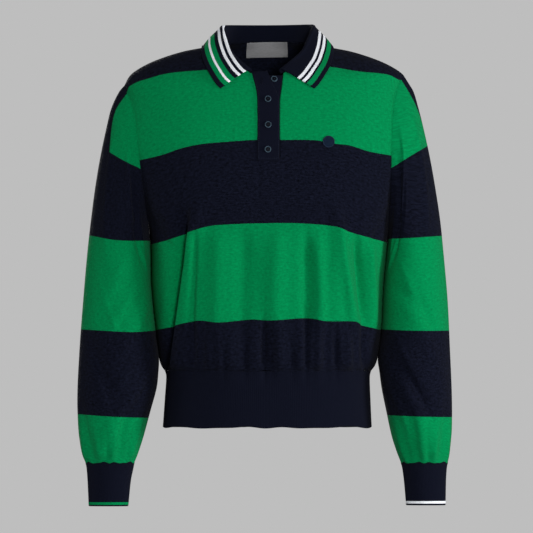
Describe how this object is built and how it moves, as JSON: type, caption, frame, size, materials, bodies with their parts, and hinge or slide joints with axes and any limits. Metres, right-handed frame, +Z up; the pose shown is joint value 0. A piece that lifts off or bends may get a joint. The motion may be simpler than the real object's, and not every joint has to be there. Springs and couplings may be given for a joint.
{
  "type": "long-sleeved polo sweater",
  "caption": "Relaxed knitted polo sweater in worn form, hollow, with dropped shoulders, full sleeves, rib cuffs and waistband, turned-down collar and short button placket.",
  "frame": {"origin": "on the garment's centre plane and the plane of its shoulder seams, at the height where the collar meets the high points of the shoulders, where the wearer carries it", "axes": "+Z up along the garment, -Y out of its front, +X to the right of someone who looks at the front"},
  "size_m": [0.5808, 0.2234, 0.7469],
  "materials": {
    "striped_knit": "fine plain knit in wide green and navy bands, matt",
    "navy_rib": "fine navy rib knit, matt",
    "navy_knit": "firm navy knit, matt",
    "collar_knit": "dense knit, navy with green and white tipping stripes, matt",
    "button": "satin navy plastic",
    "badge": "close satin stitch, navy, plain",
    "label": "grey woven satin, blank"
  },
  "bodies": {
    "root": {"front_panel": "striped_knit", "back_panel": "striped_knit", "sleeve_left": "striped_knit", "sleeve_right": "striped_knit", "cuff_left": "navy_rib", "cuff_right": "navy_rib", "waistband": "navy_rib", "collar": "collar_knit", "placket_under": "navy_knit", "placket_over": "navy_knit", "button_1": "button", "button_2": "button", "button_3": "button", "button_4": "button", "chest_badge": "badge", "neck_label": "label"}
  },
  "joints": []
}
